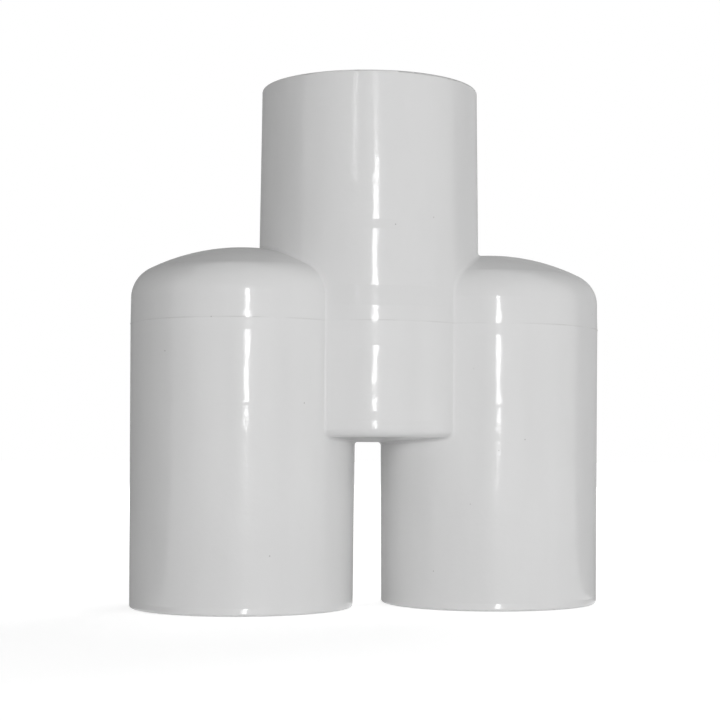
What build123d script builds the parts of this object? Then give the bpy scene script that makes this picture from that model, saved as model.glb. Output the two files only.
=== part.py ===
"""Parallel wye pipe fitting: one moulded piece of rigid PVC that joins two parallel pipes into one.

Two parallel legs end below in solvent-cement sockets and are closed above by flattened domes. A third
tube stands between them: it ends above in the same socket, and its closed foot bridges the legs.
The mould parts across all three tubes, at the height where they are widest. Every outer wall is drafted
away from that plane, and three straight cores, one for each socket, leave the waterway inside.

The origin lies midway between the two lower mouths, in their plane, with +X from leg to leg and +Z up.
Sizes are in millimetres and drafts in degrees.
"""

import os
from math import atan2, degrees, radians, tan

from build123d import *

# Sockets
pipe_diameter = 50.0
socket_clearance = 0.1  # radial, filled by the solvent cement
socket_depth = 31.0
lead_in = 0.9  # chamfer that guides the pipe into the mouth
stop_ledge = 1.2  # radial width of the step that the pipe's end meets

# Layout
leg_gap = 9.0  # between the two legs at their mouths
foot_height = 41.5  # the lowest point of the middle tube
parting_height = 71.0
shoulder_rise = 6.6  # from the parting plane to the foot of each dome
dome_height = 13.0
foot_depth = 3.0  # of the foot's much flatter dome
tube_rise = 61.5  # from the parting plane to the upper mouth

# Walls, drafts and blends
mouth_wall = 2.9
dome_wall = 3.2
foot_wall = 3.4
leg_draft = 0.45
tube_draft = 0.6
mouth_round = 0.6
knuckle_round = 8.0  # where a dome turns down into its leg
inner_knuckle_round = 5.0
foot_knuckle_round = 2.0
floor_round = 2.5
crease_round = 0.8
flash_height = 0.3  # bead that the closed mould leaves all round at its parting plane
flash_width = 0.05

# Worked out from the sizes above
socket_radius = pipe_diameter / 2 + socket_clearance
waterway_radius = socket_radius - stop_ledge
mouth_radius = socket_radius + mouth_wall
leg_x = mouth_radius + leg_gap / 2
leg_centres = [(-leg_x, 0), (leg_x, 0)]
body_radius = mouth_radius + parting_height * tan(radians(leg_draft))
shoulder_height = parting_height + shoulder_rise
overall_height = parting_height + tube_rise
shoulder_radius = body_radius - shoulder_rise * tan(radians(tube_draft))
foot_base = foot_height + foot_depth
foot_radius = body_radius - (parting_height - foot_base) * tan(radians(leg_draft))
floor_height = foot_height + foot_wall
inner_dome_height = dome_height - dome_wall
parting_plane = Plane.XY.offset(parting_height)


def upright(x, z, turned=False):
    """The plane of a tube's profile: local x points out from its axis and local y up, or down if turned."""
    return Plane((x, 0, z), x_dir=(1, 0, 0), z_dir=(0, 1 if turned else -1, 0))


def domed_end(radius, base, rise, knuckle):
    """A dome's profile from its rim to its top on the axis: a tight arc that runs on into a wide one."""
    reach = radius - knuckle
    crown = (reach**2 + rise**2 - knuckle**2) / (2 * (rise - knuckle))
    sweep = degrees(atan2(crown - rise, reach))
    turn = JernArc((radius, base), (0, 1), knuckle, sweep)
    return TangentArc(turn @ 1, (0, base + rise), tangent=turn % 1)


def creases(part):
    """The inside corners that the last step made, apart from its outline in the parting plane."""
    made = part.edges(Select.NEW)
    return made.filter_by(lambda edge: abs(edge.center().Z - parting_height) > flash_height)


# The middle tube below the parting plane, down to its closed foot
with BuildPart() as foot:
    with BuildSketch(parting_plane):
        Circle(body_radius)
    extrude(amount=foot_base - parting_height, taper=leg_draft)
    with BuildSketch(upright(0, foot_base, turned=True)):
        with BuildLine():
            dome = domed_end(foot_radius, 0, foot_depth, foot_knuckle_round)
            Polyline(dome @ 1, (0, 0), (foot_radius, 0))
        make_face()
    revolve(axis=Axis.Z)

# The outside below the parting plane: both legs, bridged by the foot
with BuildPart() as lower_outside:
    with BuildSketch(parting_plane):
        with Locations(*leg_centres):
            Circle(body_radius)
    extrude(amount=-parting_height, taper=leg_draft)
    fillet(lower_outside.faces().group_by(Axis.Z)[0].edges(), mouth_round)
    add(foot.part)
    fillet(creases(lower_outside), crease_round)

# The legs' domed ends, above the parting plane
with BuildPart() as domes:
    with BuildSketch(parting_plane):
        with Locations(*leg_centres):
            Circle(body_radius)
    extrude(amount=shoulder_rise, taper=tube_draft)
    for x, _ in leg_centres:
        with BuildSketch(upright(x, shoulder_height)):
            with BuildLine():
                dome = domed_end(shoulder_radius, 0, dome_height, knuckle_round)
                Polyline(dome @ 1, (0, 0), (shoulder_radius, 0))
            make_face()
        revolve(axis=Axis((x, 0, 0), (0, 0, 1)))

# The outside above the parting plane: the middle tube rising between the domes
with BuildPart() as upper_outside:
    with BuildSketch(parting_plane):
        Circle(body_radius)
    extrude(amount=tube_rise, taper=tube_draft)
    fillet(upper_outside.faces().sort_by(Axis.Z)[-1].edges(), mouth_round)
    add(domes.part)
    fillet(creases(upper_outside), crease_round)

# The bead round the whole outline at the parting plane
with BuildPart() as flash:
    with BuildSketch(parting_plane) as outline:
        with Locations((0, 0), *leg_centres):
            Circle(body_radius + flash_width)
        fillet(outline.vertices(), crease_round - flash_width)
    extrude(amount=flash_height / 2, both=True)

# The cores: each leg's socket, stop ledge and domed waterway, and the middle tube's down to its floor
with BuildPart() as cores:
    for x, _ in leg_centres:
        with BuildSketch(upright(x, 0)):
            with BuildLine():
                wall = Polyline(
                    (0, 0),
                    (socket_radius + lead_in, 0),
                    (socket_radius, lead_in),
                    (socket_radius, socket_depth),
                    (waterway_radius, socket_depth),
                    (waterway_radius, shoulder_height),
                )
                crown = domed_end(waterway_radius, shoulder_height, inner_dome_height, inner_knuckle_round)
                Line(crown @ 1, wall @ 0)
            make_face()
        revolve(axis=Axis((x, 0, 0), (0, 0, 1)))
    with BuildSketch(upright(0, 0)) as middle_core:
        with BuildLine():
            Polyline(
                (0, overall_height),
                (socket_radius + lead_in, overall_height),
                (socket_radius, overall_height - lead_in),
                (socket_radius, overall_height - socket_depth),
                (waterway_radius, overall_height - socket_depth),
                (waterway_radius, floor_height),
                (0, floor_height),
                close=True,
            )
        make_face()
        floor_corner = middle_core.vertices().group_by(Axis.Y)[0].sort_by(Axis.X)[-1]
        fillet(floor_corner, floor_round)
    revolve(axis=Axis.Z)

# The fitting itself
with BuildPart() as fitting:
    add(lower_outside.part)
    add(upper_outside.part)
    add(flash.part)
    add(cores.part, mode=Mode.SUBTRACT)

fitting.part.label = "wye_body"
os.makedirs("parts", exist_ok=True)
export_step(fitting.part, "parts/wye_body.step")
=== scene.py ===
"""The look of the parallel wye pipe fitting: glossy white PVC on a plain pale floor, in soft studio light.

Lengths are in metres and angles in degrees. +Z is up, +X runs from leg to leg and the front faces -Y.
Azimuths are counted from the front, and grow to the right.
"""

from math import cos, pi, radians, sin, tan

import bpy
from mathutils import Matrix, Vector

WHITE = (1, 1, 1, 1)

# Camera: where it stands, where it looks, and its lens and sensor in millimetres
CAMERA_AZIMUTH = -13.11
CAMERA_DISTANCE = 0.4353  # from the object's upright axis
CAMERA_HEIGHT = 0.0389
CAMERA_YAW = 14.19  # how far it looks to the right of straight back
CAMERA_RISE = 3.14
CAMERA_ROLL = 0.24
CAMERA_LENS = 84.17
SENSOR_WIDTH = 36.0
CAMERA_SHIFT = -0.0556  # in picture widths
CAMERA_NEAR = 0.01

# Light: a level of 1 shows a colour about as it is written
ROOM_LEVEL = 0.08
LIGHT_TARGET = (0.0, 0.0, 0.066)  # about the middle of the object

# Soft boxes, which don't show in the gloss: name, azimuth, elevation, height and level
SOFTBOX_DISTANCE = 1.4
SOFTBOX_WIDTH = 0.8
SOFTBOXES = (
    ("key_left", -45, 2, 0.25, 0.262),
    ("key", 5, 2, 0.25, 0.205),
    ("key_right", 58, 2, 0.25, 0.21),
    ("high", 40, 40, 0.8, 0.115),
    ("top", 10, 85, 0.8, 0.05),
    ("back_left", -155, 12, 0.6, 0.24),
    ("back_right", 140, 12, 0.6, 0.6),
)

# Windows, which the gloss shows as thin streaks: name, azimuth, width, low end, high end and radiance
WINDOW_DISTANCE = 2.5
WINDOWS = (
    ("window", -6.5, 0.2, 0.035, 0.585, 16.0),
    ("window_top", -6.5, 0.2, 0.59, 0.76, 2.5),
    ("side_window", -25.5, 0.03, 0.6, 0.76, 20.0),
)

# Floor: pale paint, and the white that is added where it is seen, from near the object to beyond its shadow
FLOOR_WIDTH = 12.0
FLOOR_DROP = 0.0001  # keeps it clear of the lower mouths
FLOOR_PAINT = (0.8, 0.8, 0.8)
SHADOW_REACH = (0.1, 0.5)
SHADOW_GLOW = (0.68, 1.0)

# Card: it stands behind the object and rounds its left and right. Its profile is radii with heights
CARD_START, CARD_END = 85.0, 275.0
CARD_STEPS = 48
CARD_PROFILE = ((0.0, 0.0003), (0.6, 0.0003), (0.65, 0.05), (0.65, 1.2))
CARD_SPAN = (-0.5, 0.5)
CARD_SHADES = (0.2, 0.46)  # at the left and right ends of the span

# Plastic: a mottled body under a glossy skin
PVC_COLOURS = ((0.735, 0.735, 0.735), (0.765, 0.765, 0.765))
PVC_IOR = 1.5
MOTTLE_SIZE = 0.006
MOTTLE_SQUEEZE = (1, 1, 0.2)  # of the noise's space, which makes the mottles five times as tall as wide
BODY_ROUGHNESS = 0.3
BODY_SHINE = 0.25
SKIN_WEIGHT = 0.75
SKIN_ROUGHNESS = 0.09

# Dirt in specks, and painted shade in patches along the parting line, standing in for the shadow of its
# step
# The colour of the dirt specks, also used for the painted shade along the parting line
DIRT_AND_SHADE_COLOUR = (0.2, 0.19, 0.17)
PARTING_HEIGHT = 0.071
LINE_REACH = 0.00022  # how far it fades to each side
# How dark the painted shade along the parting line is at its middle
LINE_PAINTED_SHADE = 0.22
PATCH_SIZE = 0.012
PATCH_EDGE = (0.4, 0.6)  # the noise at a patch's outer and inner edge
SPECK_SPACING = 0.007
SPECK_RADIUS = 0.0002
SPECK_CORE = 0.5  # the share of the radius that is evenly dark
SPECK_DIRT = 0.55

# Relief: broad waves, fine ripples, and the rings below
WAVE_SIZE = 0.014
WAVE_HEIGHT = 0.0002
RIPPLE_SIZE = 0.0018
RIPPLE_HEIGHT = 0.000035
RING_WANDER = 0.0003  # how far up and down a ring strays
TUBE_REACH = (0.009, 0.0165)  # how far to the side the tube's rings give way to the legs' ones

# Rings where the moulded wall leans a little: lower and upper height, and lean, up if positive
LEG_RINGS = (
    (0.0007, 0.0019, 5.5),
    (0.0499, 0.0507, -1.5),
    (0.068, 0.0709, -2.8),
)
TUBE_RINGS = (
    (0.0456, 0.0464, 5.0),
    (0.0466, 0.0488, -2.2),
    (0.0517, 0.0547, -0.95),
    (0.0648, 0.0709, -2.8),
    (0.0746, 0.0796, 4.5),
    (0.0932, 0.0956, 3.5),
)

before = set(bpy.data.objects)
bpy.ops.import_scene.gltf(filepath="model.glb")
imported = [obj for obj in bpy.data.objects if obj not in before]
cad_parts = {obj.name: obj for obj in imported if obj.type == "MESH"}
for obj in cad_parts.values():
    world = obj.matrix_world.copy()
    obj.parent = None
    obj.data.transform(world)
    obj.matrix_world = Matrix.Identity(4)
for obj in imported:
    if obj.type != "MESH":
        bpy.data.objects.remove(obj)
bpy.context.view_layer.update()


def camera_axes():
    """The camera's right, up and forward directions."""
    yaw, rise, roll = radians(CAMERA_YAW), radians(CAMERA_RISE), radians(CAMERA_ROLL)
    forward = Vector((sin(yaw) * cos(rise), cos(yaw) * cos(rise), sin(rise)))
    right = Vector((cos(yaw), -sin(yaw), 0.0))
    up = right.cross(forward)
    return cos(roll) * right + sin(roll) * up, cos(roll) * up - sin(roll) * right, forward


def add_camera():
    """The camera, at its place and turned along its axes."""
    data = bpy.data.cameras.new("camera")
    data.sensor_width = SENSOR_WIDTH
    data.lens = CAMERA_LENS
    data.shift_x = CAMERA_SHIFT
    data.clip_start = CAMERA_NEAR
    right, up, forward = camera_axes()
    place = Matrix((right, up, -forward)).transposed().to_4x4()
    azimuth = radians(CAMERA_AZIMUTH)
    place.translation = (
        sin(azimuth) * CAMERA_DISTANCE,
        -cos(azimuth) * CAMERA_DISTANCE,
        CAMERA_HEIGHT,
    )
    camera = bpy.data.objects.new("camera", data)
    camera.matrix_world = place
    bpy.context.scene.collection.objects.link(camera)
    bpy.context.scene.camera = camera


def add_math(tree, operation, first, second):
    """The outcome of an operation on two values, each a number or a socket."""
    node = tree.nodes.new("ShaderNodeMath")
    node.operation = operation
    for socket, value in zip(node.inputs, (first, second)):
        if isinstance(value, float):
            socket.default_value = value
        else:
            tree.links.new(value, socket)
    return node.outputs[0]


def map_range(tree, value, source, target, smooth=False):
    """A value carried from the source's range to the target's, and held at its ends."""
    node = tree.nodes.new("ShaderNodeMapRange")
    node.interpolation_type = "SMOOTHSTEP" if smooth else "LINEAR"
    for socket, limit in zip(("From Min", "From Max", "To Min", "To Max"), source + target):
        node.inputs[socket].default_value = limit
    tree.links.new(value, node.inputs["Value"])
    return node.outputs[0]


def object_place(tree):
    """The place on the object, in its own axes."""
    return tree.nodes.new("ShaderNodeTexCoord").outputs["Object"]


def split_axes(tree, place):
    """A place's X, Y and Z, by name."""
    node = tree.nodes.new("ShaderNodeSeparateXYZ")
    tree.links.new(place, node.inputs[0])
    return node.outputs


def add_noise(tree, place, size, detail):
    """Noise from 0 to 1, with features of about the given size."""
    node = tree.nodes.new("ShaderNodeTexNoise")
    node.inputs["Scale"].default_value = 1 / size
    node.inputs["Detail"].default_value = detail
    tree.links.new(place, node.inputs["Vector"])
    return node.outputs["Fac"]


def mix_colours(tree, share, first, second):
    """A mix of two colours. The share is the second one's, and the first may be a socket."""
    node = tree.nodes.new("ShaderNodeMix")
    node.data_type = "RGBA"
    if isinstance(first, tuple):
        node.inputs["A"].default_value = (*first, 1)
    else:
        tree.links.new(first, node.inputs["A"])
    node.inputs["B"].default_value = (*second, 1)
    tree.links.new(share, node.inputs["Factor"])
    return node.outputs["Result"]


def add_glow(tree, strength):
    """A white glow, whose strength is a socket."""
    node = tree.nodes.new("ShaderNodeEmission")
    node.inputs["Color"].default_value = WHITE
    tree.links.new(strength, node.inputs["Strength"])
    return node.outputs[0]


def add_background(tree, strength):
    """A white background, whose strength is a number."""
    node = tree.nodes.new("ShaderNodeBackground")
    node.inputs["Color"].default_value = WHITE
    node.inputs["Strength"].default_value = strength
    return node.outputs[0]


def set_surface(tree, output, surface):
    """Ends the tree in an output of the given kind."""
    node = tree.nodes.new(output)
    tree.links.new(surface, node.inputs["Surface"])


def bare_material(name):
    """A new material, with no nodes yet."""
    material = bpy.data.materials.new(name)
    material.use_nodes = True
    material.node_tree.nodes.clear()
    return material


def seen_directly(tree):
    """1 for the camera, mirrors and glass, and 0 for the light that falls on the object."""
    rays = tree.nodes.new("ShaderNodeLightPath").outputs
    through = add_math(tree, "MAXIMUM", rays["Is Glossy Ray"], rays["Is Transmission Ray"])
    return add_math(tree, "MAXIMUM", rays["Is Camera Ray"], through)


def light_world():
    """A plain grey room for the light, and white wherever the background shows."""
    world = bpy.data.worlds.new("studio")
    world.use_nodes = True
    tree = world.node_tree
    tree.nodes.clear()
    mix = tree.nodes.new("ShaderNodeMixShader")
    tree.links.new(seen_directly(tree), mix.inputs[0])
    tree.links.new(add_background(tree, ROOM_LEVEL), mix.inputs[1])
    tree.links.new(add_background(tree, 1.0), mix.inputs[2])
    set_surface(tree, "ShaderNodeOutputWorld", mix.outputs[0])
    bpy.context.scene.world = world


def floor_material():
    """A pale floor that keeps the object's shadow, with white added where it is seen."""
    material = bare_material("floor_white")
    tree = material.node_tree
    away = tree.nodes.new("ShaderNodeVectorMath")
    away.operation = "LENGTH"
    tree.links.new(object_place(tree), away.inputs[0])
    white = map_range(tree, away.outputs["Value"], SHADOW_REACH, SHADOW_GLOW)
    seen = add_math(tree, "MULTIPLY", white, seen_directly(tree))
    paint = tree.nodes.new("ShaderNodeBsdfDiffuse")
    paint.inputs["Color"].default_value = (*FLOOR_PAINT, 1)
    both = tree.nodes.new("ShaderNodeAddShader")
    tree.links.new(paint.outputs[0], both.inputs[0])
    tree.links.new(add_glow(tree, seen), both.inputs[1])
    set_surface(tree, "ShaderNodeOutputMaterial", both.outputs[0])
    return material


def add_sheet(name, verts, faces, material):
    """A thin surface that belongs to the studio, not to the object."""
    mesh = bpy.data.meshes.new(name)
    mesh.from_pydata(verts, [], faces)
    mesh.materials.append(material)
    sheet = bpy.data.objects.new(name, mesh)
    bpy.context.scene.collection.objects.link(sheet)
    return sheet


def add_floor():
    """A wide square floor just under the object."""
    half = FLOOR_WIDTH / 2
    corners = [(-half, -half, 0), (half, -half, 0), (half, half, 0), (-half, half, 0)]
    floor = add_sheet("floor", corners, [(0, 1, 2, 3)], floor_material())
    floor.location.z = -FLOOR_DROP


def card_material():
    """A grey glow, lighter to the right."""
    material = bare_material("card_grey")
    tree = material.node_tree
    across = split_axes(tree, object_place(tree))["X"]
    shade = map_range(tree, across, CARD_SPAN, CARD_SHADES)
    set_surface(tree, "ShaderNodeOutputMaterial", add_glow(tree, shade))
    return material


def add_card():
    """A grey card that stands round the back of the object, for the gloss alone to show."""
    verts, faces = [], []
    rows = len(CARD_PROFILE)
    for i in range(CARD_STEPS + 1):
        a = radians(CARD_START + (CARD_END - CARD_START) * i / CARD_STEPS)
        verts += [(sin(a) * r, -cos(a) * r, z) for r, z in CARD_PROFILE]
    for first in range(0, CARD_STEPS * rows, rows):
        for k in range(first, first + rows - 1):
            faces.append((k, k + 1, k + 1 + rows, k + rows))
    card = add_sheet("card", verts, faces, card_material())
    card.visible_camera = False
    card.visible_diffuse = False
    card.visible_shadow = False


def add_lamp(name, place, width, height, power, shine):
    """A rectangular lamp that faces the object. Only one with shine shows in the gloss."""
    data = bpy.data.lights.new(name, "AREA")
    data.shape = "RECTANGLE"
    data.size = width
    data.size_y = height
    data.energy = power
    lamp = bpy.data.objects.new(name, data)
    lamp.location = place
    lamp.rotation_euler = (Vector(LIGHT_TARGET) - place).to_track_quat("-Z", "Y").to_euler()
    lamp.visible_glossy = shine
    bpy.context.scene.collection.objects.link(lamp)


def add_softbox(name, azimuth, elevation, height, level):
    """A broad lamp that lights what faces it to the given level, and doesn't show in the gloss."""
    a, e = radians(azimuth), radians(elevation)
    way = Vector((sin(a) * cos(e), -cos(a) * cos(e), sin(e)))
    place = Vector(LIGHT_TARGET) + SOFTBOX_DISTANCE * way
    power = pi**2 * level * SOFTBOX_DISTANCE**2
    add_lamp(name, place, SOFTBOX_WIDTH, height, power, shine=False)


def add_window(name, azimuth, width, low, high, radiance):
    """A bright opening far away in the room, which draws a thin vertical streak on each tube."""
    a = radians(azimuth)
    place = Vector((sin(a) * WINDOW_DISTANCE, -cos(a) * WINDOW_DISTANCE, (low + high) / 2))
    height = high - low
    add_lamp(name, place, width, height, pi * radiance * width * height, shine=True)


def mottle(tree, place):
    """The clean plastic's colour, faintly uneven."""
    squeeze = tree.nodes.new("ShaderNodeVectorMath")
    squeeze.operation = "MULTIPLY"
    squeeze.inputs[1].default_value = MOTTLE_SQUEEZE
    tree.links.new(place, squeeze.inputs[0])
    noise = add_noise(tree, squeeze.outputs[0], MOTTLE_SIZE, detail=3.0)
    return mix_colours(tree, noise, *PVC_COLOURS)


def specks(tree, place):
    """The dirt's share in the specks, which are small balls, one in each cell of space."""
    cells = tree.nodes.new("ShaderNodeTexVoronoi")
    cells.inputs["Scale"].default_value = 1 / SPECK_SPACING
    tree.links.new(place, cells.inputs["Vector"])
    edge = SPECK_RADIUS / SPECK_SPACING
    return map_range(tree, cells.outputs["Distance"], (SPECK_CORE * edge, edge), (SPECK_DIRT, 0.0))


def painted_shade_line(tree, place):
    """The painted shade's share along the parting line, which comes and goes: a painted shadow of the
    line's step.
    """
    above = add_math(tree, "SUBTRACT", split_axes(tree, place)["Z"], PARTING_HEIGHT)
    line = map_range(tree, add_math(tree, "ABSOLUTE", above, 0.0), (0.0, LINE_REACH), (LINE_PAINTED_SHADE, 0.0))
    noise = add_noise(tree, place, PATCH_SIZE, detail=1.0)
    return add_math(tree, "MULTIPLY", line, map_range(tree, noise, PATCH_EDGE, (0.0, 1.0)))


def lean(tree, height, rings):
    """The relief that leans the wall in each ring."""
    total = None
    for low, high, angle in rings:
        rise = (high - low) * tan(radians(angle))
        step = map_range(tree, height, (low, high), (0.0, -rise))
        total = step if total is None else add_math(tree, "ADD", total, step)
    return total


def relief(tree, place):
    """The moulded surface's small departures from true, in metres."""
    axes = split_axes(tree, place)
    wave = add_noise(tree, place, WAVE_SIZE, detail=1.0)
    wander = map_range(tree, wave, (0.0, 1.0), (-RING_WANDER, RING_WANDER))
    height = add_math(tree, "ADD", axes["Z"], wander)
    across = add_math(tree, "ABSOLUTE", axes["X"], 0.0)
    on_tube = map_range(tree, across, TUBE_REACH, (1.0, 0.0), smooth=True)
    on_legs = map_range(tree, across, TUBE_REACH, (0.0, 1.0), smooth=True)
    tube = add_math(tree, "MULTIPLY", on_tube, lean(tree, height, TUBE_RINGS))
    legs = add_math(tree, "MULTIPLY", on_legs, lean(tree, height, LEG_RINGS))
    rings = add_math(tree, "ADD", tube, legs)
    swell = add_math(tree, "MULTIPLY", wave, WAVE_HEIGHT)
    ripple = add_noise(tree, place, RIPPLE_SIZE, detail=2.0)
    fine = add_math(tree, "MULTIPLY", ripple, RIPPLE_HEIGHT)
    return add_math(tree, "ADD", rings, add_math(tree, "ADD", swell, fine))


def pvc_material():
    """Glossy moulded PVC: faintly mottled, with specks of dirt and painted shade along the parting line,
    slightly wavy, with leaning rings.
    """
    material = bpy.data.materials.new("pvc_gloss_white")
    material.use_nodes = True
    tree = material.node_tree
    shader = tree.nodes["Principled BSDF"]
    shader.inputs["IOR"].default_value = PVC_IOR
    shader.inputs["Roughness"].default_value = BODY_ROUGHNESS
    shader.inputs["Specular IOR Level"].default_value = BODY_SHINE
    shader.inputs["Coat Weight"].default_value = SKIN_WEIGHT
    shader.inputs["Coat Roughness"].default_value = SKIN_ROUGHNESS
    place = object_place(tree)
    # Dirt from the specks, and painted shade along the parting line, whichever is darker
    dirt_and_shade = add_math(tree, "MAXIMUM", specks(tree, place), painted_shade_line(tree, place))
    colour = mix_colours(tree, dirt_and_shade, mottle(tree, place), DIRT_AND_SHADE_COLOUR)
    tree.links.new(colour, shader.inputs["Base Color"])
    bump = tree.nodes.new("ShaderNodeBump")
    bump.inputs["Distance"].default_value = 1.0
    tree.links.new(relief(tree, place), bump.inputs["Height"])
    tree.links.new(bump.outputs[0], shader.inputs["Normal"])
    tree.links.new(bump.outputs[0], shader.inputs["Coat Normal"])
    return material


light_world()
add_camera()
add_floor()
add_card()
for softbox in SOFTBOXES:
    add_softbox(*softbox)
for window in WINDOWS:
    add_window(*window)
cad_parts["wye_body"].data.materials[0] = pvc_material()
bpy.context.scene.view_settings.view_transform = "Standard"
